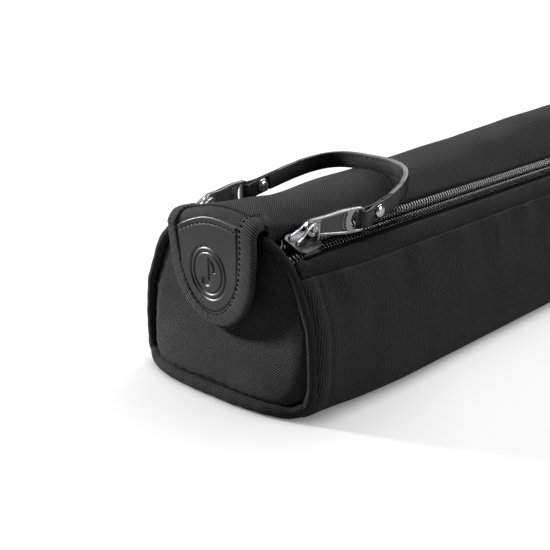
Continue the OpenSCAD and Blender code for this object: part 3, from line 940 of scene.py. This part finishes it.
def make_tape(hand, part):
    """A zip tape with its woven cord edge, a little wavy where nothing holds it."""
    side, (sign, body) = SIDES[hand], ZIP_HALVES[part]
    places = long_places(zip_near, zip_far, 1.2, 3.0, 14)[:, None]
    v = array([0.7, 0.75, 2.6, 4.6, 6.6, 8.6, 10.2, tape_out])
    w = tape_top + array([-0.5, 0.0, 0, 0.02, 0.05, 0.02, 0, -0.1])
    wave = (0.22 * sin(places / 8.3 + sign) + 0.12 * sin(places / 3.7)) * fade((places - 300) / 60)
    across = sign * (v + parting(places) * smooth((9 - v) / 6))
    rows = zip_point(places, across, w + 0.6 * wave * smooth((v - 4) / 3) - tail_drop(places), side)
    tape = sheet(f"{hand}_{part}_tape_cloth", rows, tape_look, thick=0.5, flip=side * sign < 0, body=body,
                 slot="zip_tape", stands_for=(f"{hand}_{part}_tape",))


def make_coil(hand, part):
    """A zip coil wound from one filament, its heads reaching between those of the other coil."""
    side, (sign, body) = SIDES[hand], ZIP_HALVES[part]
    steps, wire, last = 14, 0.43, zip_far - 2
    first, inner, seam = 2.2, 2.0, 4.1
    if part == "lid":                          # it starts later, and its heads reach over the other coil
        first, inner = first + 2.5 * coil_pitch, -0.7
    outer = coil_gap / 2 + coil_w + 1.0
    turn = arange(int((last - first) / coil_pitch) * steps + 1) / steps
    x, c, s = first + coil_pitch * turn, cos(2 * pi * turn), sin(2 * pi * turn)
    v = (inner + outer) / 2 + (outer - inner) / 2 * np.sign(c) * abs(c) ** 0.7
    w = (coil_h / 2 - wire) * np.sign(s) * abs(s) ** 0.6
    if part == "lid":
        x = x - 1.6 * maximum(2.4 - v, 0)      # the heads slant back
    path = zip_point(x, sign * (v + parting(x)), w - tail_drop(x), side)
    coil = Parts()
    coil.tube(swept(path, ring(wire, 6), up=(1, 0, 0)))
    coil.make(f"{hand}_{part}_coil_wire", coil_look, body=body, slot="zip_coil",
              stands_for=(f"{hand}_{part}_coil",))
    x = arange(first, last, coil_pitch / 2)
    line = zip_point(x, sign * (seam + parting(x)), coil_h / 2 + 0.02 - tail_drop(x), side)
    up = zip_point(0, 0, 1, side) - zip_point(0, 0, 0, side)
    sew(f"{hand}_{part}_coil_stitches", line, tile(up, (len(line), 1)), 1.9, coil_pitch, 0.16, body=body)


def make_stops():
    """The metal stop clamped over the closed end of each zip."""
    stops = Parts()
    scale = array([0.72] + [1.0] * 13 + [0.72])
    for side in SIDES.values():
        path = zip_point(zip_far + 1.1, linspace(-2.6, 2.6, 15), 0.1, side)
        stops.tube(swept(path, rounded(1.1, 1.45, 0.5)[:, ::-1], scale=scale))
    stops.make("zip_closed_end_stops", dark_metal, body="tub", slot="slider_metal",
               stands_for=("zip_end_stops",))


# ---- lid and flap
def make_lid_cloth():
    """The lid's cloth, crowned, with its long edges folded down to the tapes."""
    places = long_places(1.2, body_len + 1.4)
    rim = 0.02 * arange(5) ** 1.3
    t = join(rim - 1, linspace(-0.85, 0.85, 40), (1 - rim)[::-1])
    half = edge_y(places) - 0.5 + 0.3 * sin(places / 23) * smooth(places / 40)
    x, y = places[:, None], half[:, None] * t
    rows = point(x, y, lid_z(x, y))
    edge = rows[:, 0, 2]
    drop = minimum(75.0, edge - 1.6) - edge
    folds = [(0.35, 0.18), (0.5, 0.5), (0.35, 0.85), (-0.6, 1.0), (-2.4, 0.93)]
    left = np.stack([point(places, half + dy, edge + drop * share) for dy, share in folds], 1)
    rows = join(left[:, ::-1] * [1, -1, 1], rows, left, axis=1)
    lid = sheet("lid_cover", rows, lid_look, thick=0.9, flip=True, body="lid", slot="body_cloth",
                stands_for=("lid_panel",))
    cut_size(rows)


def make_lid_inside():
    """The lid's foam and lining."""
    inset = lid_half - 3.2
    x, y = meshgrid(linspace(7, body_len - 7, 90), linspace(-inset, inset, 22), indexing="ij")
    top = point(x, y, lid_z(x, y) - 1.4)
    make_pad("lid_pad", "lid_foam", top, top - [0, 0, 2.7], body="lid")
    under = top - [0, 0, 3.1]
    under[..., 2] += 0.2 * sin(x / 9) * sin(y / 4)
    sheet("lid_lining_cloth", under, lining_look, body="lid", slot="lining", stands_for=("lid_lining",))


fold_start, fold_end = metres((-2.0, 0, 84.5)), metres((-8.5, 0, 77.5))
flap_back = -9.0      # how far the binding runs back along the lid, as a length q


def follow_fold(obj):
    """Bakes the placement of a piece between the lid and the flap into its mesh."""
    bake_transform(obj)


def tongue(f):
    """Middle, half width, rounding and foot of the flap: f is 0 on its edge and 1 inside its binding."""
    return 2.2 + 1.4 * f, flap_half - 7.9 * f, 29 - 0.6 * f, flap_low + 5.8 * f


def narrowed(y, q, middle):
    """The flap's y, drawn in towards its middle where it leaves the lid."""
    neck, reach = 0.065, 18
    return middle + (y - middle) * (1 - neck * fade(q / reach))


def ring_line(f):
    """The flap's outline as (y, q), from its left end on the lid round to its right one."""
    middle, half, rounding, foot = tongue(f)
    y, z = (arc((0, 0), 1, 0, -180, 200) * [half, rounding] + [middle, foot + rounding]).T
    q = flap_q(y, z)

    def flank(sign, q_end):
        q_side = linspace(flap_back, q_end, 90)
        return point(narrowed(middle + sign * half, q_side, middle), q_side)
    return join(flank(1, q[0])[:-1], point(y, q), flank(-1, q[-1])[-2::-1])


def ring_places(count):
    """Places of count equal steps round the flap, as positions along any of its outlines."""
    marks = distances(ring_line(0.5))
    return np.interp(linspace(0, marks[-1], count), marks, arange(len(marks)))


def ring_at(f, places):
    """The y and q of places along the outline f."""
    line = ring_line(f)
    return points_at(places, arange(len(line)), line).T


def tongue_foot(f, share):
    """Across the flap at share, from -1 to 1: its y there and the length q down to its outline."""
    middle, half, rounding, foot = tongue(f)
    y = middle + half * share
    return y, flap_q(y, foot + rounding * (1 - sqrt(maximum(1 - share ** 2, 0))))


def make_flap():
    """The lid's cloth carried over the near end and down as the flap."""
    middle = 2.3
    y, q_foot = tongue_foot(0.1, sin(linspace(-pi / 2, pi / 2, 61)))
    q = join(linspace(-0.05, 0.3, 24), linspace(0.32, 1, 36))[:, None] * q_foot
    rows = flap_point(narrowed(y, q, middle), q)
    flap = sheet("flap_cloth", rows, cloth_look, thick=1.6, flip=True, cloth=rows[..., 1:],
                 slot="body_cloth", stands_for=("end_flap", "lid_front_lip"))
    follow_fold(flap)
    area = norm(cross(diff(rows, axis=0)[:, :-1], diff(rows, axis=1)[:-1]), axis=2).sum()
    cut_size(rows)[1] * 1.3


def make_binding():
    """Ribbed tape folded over the flap's edge, with a row of stitches inside it."""
    count = 340
    places = ring_places(count)
    ripple = 0.06 * sin(arange(count) * 0.55)
    front = [(1.0, 0.15), (0.96, 0.75), (0.62, 0.95), (0.25, 0.95), (0.04, 0.75), (-0.045, 0.1)]
    back = [(-0.05, -1.0), (0.02, -1.9), (0.25, -2.15), (0.81, -2.0), (0.85, -1.6)]
    rows = np.stack([flap_point(*ring_at(f, places), off + ripple) for f, off in front]
                    + [flap_point(*ring_at(f, places), off) for f, off in back], 1)
    binding = sheet("flap_ribbed_binding", rows, binding_look, flip=True, slot="binding",
                    stands_for=("flap_binding",))
    follow_fold(binding)
    cut_size(rows)
    sew_flap("binding_stitches", *ring_at(0.88, places), 0.85, 1.7, 2.4, 0.25)


def sew_flap(name, y, q, off, length, pitch, radius):
    """A row of stitches on the flap, off its outer face."""
    line, ahead = flap_point(y, q, off), flap_point(y, q, off + 1)
    follow_fold(sew(name, line, ahead - line, length, pitch, radius))


def emblem(y, z):
    """Depth of the mark pressed into the patch: a music note in a double ring."""
    centre_y, centre_z = 3.7, 57.4
    u, v = centre_y - y, z - centre_z
    r = hypot(u, v)
    line = maximum(bell(r, 12.0, 0.5), bell(r, 9.6, 0.4))
    head = smooth((1.0 - hypot((u + 1.9 + 0.35 * (v + 4.6)) / 3.0, (v + 4.6) / 2.1)) * 3.2)
    stem = smooth((0.62 - abs(u - 0.75)) * 4) * smooth((v + 4.8) * 2) * smooth((7.2 - v) * 2)
    flag_u = 0.75 + 3.6 * sin(clip((7.2 - v) / 6.2, 0, 1) * pi * 0.62)
    flag = smooth((0.75 - abs(u - flag_u)) * 3) * smooth((7.4 - v) * 2) * smooth((v - 0.6) * 2)
    return np.maximum.reduce([line, head, stem, flag])


def make_patch():
    """The leather patch on the flap, arched at its top, with a raised rim and a pressed mark."""
    half, inset = 19.2, 0.9
    share = sin(linspace(-pi / 2, pi / 2, 150) * 0.985)
    y, foot_q = tongue_foot(inset, share)
    top_q = fold_len - 3.4 + 0.0056 * maximum(y + 2, 0) ** 2 + 0.003 * minimum(y + 2, 0) ** 2
    q = top_q + (foot_q - top_q) * linspace(0, 1, 170)[:, None]
    y = narrowed(y, q, tongue(inset)[0])
    z = flap_point(y, q)[..., 2]
    from_arch = q - top_q
    from_edge = minimum(half * (1 - abs(share)), (foot_q - q) * 0.9)
    seam = 2.9          # the stitched line below the arch
    off = 1.15 - 0.85 * fade(from_arch / 0.55) + 0.28 * bell(from_arch, 1.0, 0.7)
    off = off - 0.3 * bell(from_arch, seam, 0.45) - 0.7 * fade((from_edge - 0.4) / 1.6)
    off = off - 0.6 * emblem(y, z) + 0.08 * sin(z / 9 + y / 14)
    rows = join(flap_point(y[:1], q[:1] - 0.1, 0.1), flap_point(y, q, off))
    patch = sheet("leather_badge", rows, patch_look, flip=True, slot="patch_leather",
                  stands_for=("leather_patch",))
    follow_fold(patch)
    keep = abs(y[0] - 3.4) < half - 1.4
    sew_flap("badge_stitches", y[0, keep], top_q[keep] + seam, 0.9, 2.1, 2.8, 0.24)


def make_closure():
    """Hook and loop patches behind the flap, with their pile."""
    make_pile("end_loop", "tub", (46, 68), lambda y, z: -0.75 + 0 * y, -1, loop_look, 0.32)
    make_pile("flap_hook", "flap", (46.5, 67.5), lambda y, z: flap_x(y, z) + 1.9, 1, hook_look, 0.2)


def make_pile(kind, body, heights, face, sign, look, thick):
    """A patch of hooks or loops on a face, given as its x over y and z; sign is the way they stand."""
    half, tall, (low, high) = 12, 0.55, heights
    y, z = meshgrid(linspace(-half, half, 25), linspace(low, high, 23), indexing="ij")
    edge = minimum(minimum(half - abs(y), z - low), high - z)
    rows = point(face(y, z) + sign * tall * smooth(edge / 0.8), y, z)
    patch = Parts()
    patch.add(rows, grid_faces(25, 23)[:, ::sign], rows[..., 1:])
    a = linspace(0, pi, 5)
    for i in range(1, 24):
        for j in range(1, 22):
            foot = rows[i, j] + [0, 0.2 * sin(i * 12.9 + j * 78.2), 0.4 * cos(i * 7.7 + j * 3.1)]
            loop = foot + point(sign * tall * sin(a), 0.3 * cos(a), 0.2 * cos(a + i))
            patch.tube(swept(loop, ring(thick * 0.45, 4), up=(0, 0.3, 1)))
    patch.make(kind + "_pile", look, body=body, slot="hook_and_loop", stands_for=(kind + "_patch",))


def make_hinge_seam():
    """The lid's far edge turned down and bound to the far end, which is its hinge."""
    y = 24.2 * linspace(-1, 1, 41)
    start_x, turn_r, low = body_len + 1.0, 3.4, 69.5
    top = lid_z(start_x, y)
    rows = [point(start_x + turn_r * sin(a), y, top + 0.12 - turn_r * (1 - cos(a)))
            for a in linspace(0, pi / 2, 9)]
    for k in linspace(0.1, 1, 12):
        x = start_x + turn_r - 1.9 * smooth(k) + 0.15 * sin(y / 3 + 6 * k)
        rows.append(point(x, y * (1 + 0.03 * k), (top - 3.3) * (1 - k) + low * k))
    rows = np.stack(rows)
    seam = sheet("far_hinge_binding", rows, binding_look, thick=0.9, slot="binding",
                 cloth=flat_cut(rows)[..., ::-1], stands_for=("hinge_seam_binding",))
    metres((body_len + 3, 0, 73))
    metres((body_len + 1, 0, 86))
    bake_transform(seam)
    cut_size(rows)


# ---- sliders
def make_slider(hand):
    """A slider: two plates joined by a post, with turned-down flanges."""
    side, nose, wide = SIDES[hand], 8.0, 6.9
    half = array([(-nose, 4.6), (2.4 - nose, 6.7), (-1.5, wide), (2.5, 6.4), (nose - 1.6, 5.4), (nose, 4.2)])
    outline = round_corners(join(half, half[::-1] * [1, -1]), 1.1)

    def on_plate(height, dome):
        def place(points):
            x, v, w = points.T
            lift = dome * (1 - (v / wide) ** 2) - 0.25 * smooth((abs(x) - 5) / 3)
            return zip_point(slider_x + x, v, height + w + lift, side)
        return place

    body = Parts()
    body.plate([outline], 1.0, 0.35, on_plate(coil_h / 2 + 0.7, 0.55))
    scale = array([0.6, 0.9] + [1.0] * 5 + [0.9, 0.6])
    for v in (-6.35, 6.35):
        flange = zip_point(slider_x + linspace(-5.4, 5.4, 9), v, 0.35, side)
        body.tube(swept(flange, rounded(0.42, 1.0, 0.3), scale=scale))
    under = round_corners(outline * [0.92, 0.88], 1.0)
    body.plate([under[under[:, 1] < 0.4]], 0.9, 0.25, on_plate(-2.35, 0.0))
    post = zip_point(slider_x - nose + 2.0, 0.0, linspace(-2.4, 1.6, 4), side)
    body.tube(swept(post, rounded(1.2, 0.32, 0.25), up=(1, 0, 0)))
    body.make(hand + "_slider_body", slider_look, body="slider_" + hand, slot="slider_metal",
              stands_for=(hand + "_slider",))


def make_crown(hand):
    """The crown over a slider: two arched cheeks with round webs, and the pin between them."""
    flip = [1, SIDES[hand], 1]
    crown = Parts()
    for dy in (-2.05, 2.05):
        y, foot = chain_y + dy, chain_z - dy * tan(zip_tilt) + 2.0
        x, z = spline([(-12.2, foot), (-11.6, foot + 1.7), (-8.6, foot + 3.0), (-4.5, pin_z + 0.3),
                       (-0.6, pin_z + 2.1), (1.9, pin_z + 0.9), (2.1, foot + 2.2), (1.2, foot)], 34).T
        crown.tube(swept(point(pin_x + x, y, z), rounded(0.5, 0.7, 0.3), up=(0, 1, 0)) * flip)

        def place(points, y=y):
            return (points[:, [0, 2, 1]] + [pin_x, y, pin_z]) * flip
        crown.plate([ring(1.9, 24)], 0.9, 0.25, place)
    y = chain_y + linspace(-2.9, 2.9, 9)
    y[[0, 1, 7, 8]] += [0.05, -0.12, 0.12, -0.05]
    size = array([0.25, 0.85, 1.1, 1, 1, 1, 1.1, 0.85, 0.25])
    crown.tube(swept(point(pin_x, y, pin_z), ring(1.0, 16), scale=size) * flip)
    crown.make(hand + "_slider_bridge", bright_metal, body="slider_" + hand, slot="slider_metal",
               stands_for=(hand + "_slider_crown",))


def round_corners(points, radius, steps=4):
    """A closed outline with its corners rounded."""
    out = []
    for i in range(len(points)):
        before, here, after = points[i - 1], points[i], points[(i + 1) % len(points)]
        a, b = before - here, after - here
        reach = min(radius, norm(a) * 0.45, norm(b) * 0.45)
        p, q = here + a / norm(a) * reach, here + b / norm(b) * reach
        for t in linspace(0, 1, steps):
            out.append((1 - t) ** 2 * p + 2 * t * (1 - t) * here + t * t * q)
    return array(out)


def spline(points, count):
    """A smooth open curve through points."""
    points = array(points, float)
    places = arange(len(points))
    fine = linspace(0, len(points) - 1, count * 4)
    return resample(point(*(through(fine, point(places, column)) for column in points.T)), count)


# ---- pulls and strap
def pull_place(side):
    """Maps (s along the pull, h up it, n through it) into the bag's frame."""
    cp, sp, cy, sy = cos(pull_pitch), sin(pull_pitch), cos(pull_yaw), sin(pull_yaw)

    def place(points):
        s, h, n = np.moveaxis(points, -1, 0)
        forward, up = s * cp + h * sp, h * cp - s * sp
        return point(pin_x + forward * cy + n * sy, side * (chain_y + forward * sy - n * cy), pin_z + up)
    return place


def make_pull(hand):
    """A pull: a ring, a neck and a plate with a recessed panel, milled edges and a slot for the strap."""
    place, half = pull_place(SIDES[hand]), pull_w / 2
    slot_in, slot_out, slot_h = pull_l - 8.6, pull_l - 2.3, strap_w / 2 + 0.45
    wide, tip_r, slot_r, rim_w = slot_in - 1.2, 3.4, 3.4, 1.4
    s = arange(4.0, wide, 0.5)
    neck = 4.3 + (half - 4.3) * smooth((s - 3.0) / (wide - 3.0)) ** 0.9
    mill = 0.12 * (1 - arange(len(s)) % 2 * 2) * smooth((s - 5) / 3)
    tip = arc((pull_l - tip_r, half - tip_r), tip_r, 90, 0, 8)
    edge = join(point(s, neck + mill), [(wide + 1.4, half)], tip)
    outline = join(arc((0.6, 0), 4.2, 100, 260, 22), edge * [1, -1], edge[::-1])
    hole = arc((0.9, 0), 2.5, 0, 360, 26)[:-1]
    slot_back = arc((0, 0), 1, 90, 270, 14) * [slot_r, slot_h] + [slot_in + slot_r, 0]
    slot = join([(slot_out, -slot_h), (slot_out, slot_h)], slot_back)
    panel_x, panel_h = wide - 1.0, half - rim_w
    panel = array([(4.6, 2.9), (7.5, 3.2), (panel_x, panel_h)])
    a = linspace(-1.2, 1.2, 9)
    back = point(panel_x + 0.6 - 1.9 * cos(a), linspace(panel_h, -panel_h, 9))
    front = point(3.6 + 0.9 * cos(a), linspace(-2.6, 2.6, 9))
    window = round_corners(join(panel, back[1:-1], (panel * [1, -1])[::-1], front[1:-1]), 0.5, 3)
    recess = Parts()
    recess.plate([(window - window.mean(0)) * 1.05 + window.mean(0)], 1.15, 0.1, place)
    recess.make(hand + "_pull_recess", recess_metal, body="handle")
    pull = Parts()
    pull.plate([outline, hole, slot, window], pull_t, 0.32, place)
    for face in (-0.62, 0.62):
        pull.tube(place(swept(point(back[:, 0] - 1.5, back[:, 1] * 0.92, face), ring(0.3, 8))))
    pull.make(hand + "_pull_plate", dark_metal, body="handle", slot="pull_metal",
              stands_for=(hand + "_zip_pull",))


bar = pull_place(1)(array([pull_l - 1.1, 0, 0]))
wrap_r = hypot(2.2, pull_t) / 2 + 0.2 + strap_t / 2
layer = strap_t / 2 + 0.03
rivet_s, tail_s = 11.0, 14.4


def bow(a):
    """Middle of the strap along its bow: 0 degrees at the pull's bar, 90 at the top of the bow."""
    s, c = maximum(sin(radians(a)), 0), maximum(cos(radians(a)), 0)
    return point(bar[0] + bow_l * s ** 0.7, bar[1] * c ** 0.6, bar[2] + (bow_z - bar[2]) * s)


def bow_side(a):
    """Outward direction across the strap."""
    step = 0.25
    ahead = minimum(a + step, 90)
    x, y, _ = (bow(ahead) - bow(maximum(ahead - 2 * step, 0.01))).T
    return point(-y, x, 0) / hypot(x, y)[:, None]


def strap_lines():
    """Half of each layer's line: the outer from its tail round the bar to the bow's top, and the inner."""
    a = join(linspace(0.5, 14, 22), linspace(16, 90, 44))
    reach = bow_l * sin(radians(a)) ** 0.7
    spread = (layer + (wrap_r - layer) * fade(reach / 9))[:, None]
    middle, out = bow(a), bow_side(a)
    tail = (middle - spread * out)[reach < tail_s][::-1]
    wrap = arc(bar, wrap_r, -90, -270, 12)[1:-1]
    wrap = point(wrap[:, 0], wrap[:, 1], bar[2])
    return join(tail, wrap, middle + spread * out), (middle - layer * out)[reach > tail_s + 0.8]


def whole_strap(half):
    """A line of half the strap, carried on over the bag's middle to the left pull."""
    return join(half, (half * [1, -1, 1])[-2::-1])


def make_strap():
    """The strap: two layers of leather, stitched along both edges, with edge paint on both edges. The
    paint's light grey is a painted highlight, and the inner layer is near black as painted shade.
    """
    count = 150
    # the inner layer's near-black leather is painted shade
    for name, look, half in zip(("outer", "inner"), (strap_look, strap_back_painted_shade_look), strap_lines()):
        wobble = 1 + 0.012 * sin(arange(count) * 0.31)
        strap = Parts()
        strap.tube(swept(resample(whole_strap(half), count), rounded(strap_t / 2, strap_w / 2, 0.35),
                         scale=wobble))
        strap.make(f"strap_{name}_layer", look, body="handle", slot="strap_leather",
                   stands_for=("strap_" + name,))
    threads, edge = Parts(), Parts()
    a = linspace(24, 90, 60)
    for face in (-1, 1):
        out = bow_side(a) * face
        for h in (-1, 1):
            line = bow(a) + out * (2 * layer - 0.02) + [0, 0, h * (strap_w / 2 - 1.35)]
            for mirror in (1, -1):
                threads.stitches(line * [1, mirror, 1], out * [1, mirror, 1], 2.1, 2.9, 0.2)
    threads.make("strap_stitches", thread_look, body="handle")
    # the edge paint's light grey is a painted highlight along both edges
    for h in (-1, 1):
        line = whole_strap(bow(linspace(17, 90, 70)) + [0, 0, h * (strap_w / 2 - 0.12)])
        edge.tube(swept(line, rounded(strap_t - 0.08, 0.26, 0.22)))
    edge.make("strap_edge_paint_and_painted_highlight", edge_paint_highlight_look, body="handle")


def make_rivets():
    """A domed rivet through each folded end of the strap."""
    a = degrees(arcsin((rivet_s / bow_l) ** (1 / 0.7)))
    middle, out = bow(array([a])), bow_side(array([a]))
    radius = array([1.3, 3.0, 3.4, 3.35, 2.9, 2.05, 1.1, 0.18])
    height = array([-0.3, -0.05, 0.2, 0.6, 1.1, 1.45, 1.65, 1.7]) + layer + 0.02 + strap_t / 2
    rivets = Parts()
    for side in SIDES.values():
        for sign in (-1, 1):
            _, across, high = frames(join(middle, middle + out * sign))
            rows = placed(middle + out * sign * height[:, None], ring(1, 28), radius, across[:1], high[:1])
            rivets.tube(rows * [1, side, 1])
    rivets.make("strap_dome_rivets", rivet_metal, body="handle", slot="rivet_metal",
                stands_for=("strap_rivets",))


# ---- everything together
make_body_cloth()
for hand in SIDES:
    make_hem(hand)
for end in ENDS:
    make_end_cloth(end)
for end in ENDS:
    make_welt(end)
make_padding()
make_lining()
for hand in SIDES:
    for part in ZIP_HALVES:
        make_tape(hand, part)
        make_coil(hand, part)
make_stops()
make_lid_cloth()
make_lid_inside()
make_flap()
make_binding()
make_patch()
make_closure()
make_hinge_seam()
for hand in SIDES:
    make_slider(hand)
    make_crown(hand)
    make_pull(hand)
make_strap()
make_rivets()
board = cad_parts["base_board"].data
board.materials.clear()
board.materials.append(foam_look)
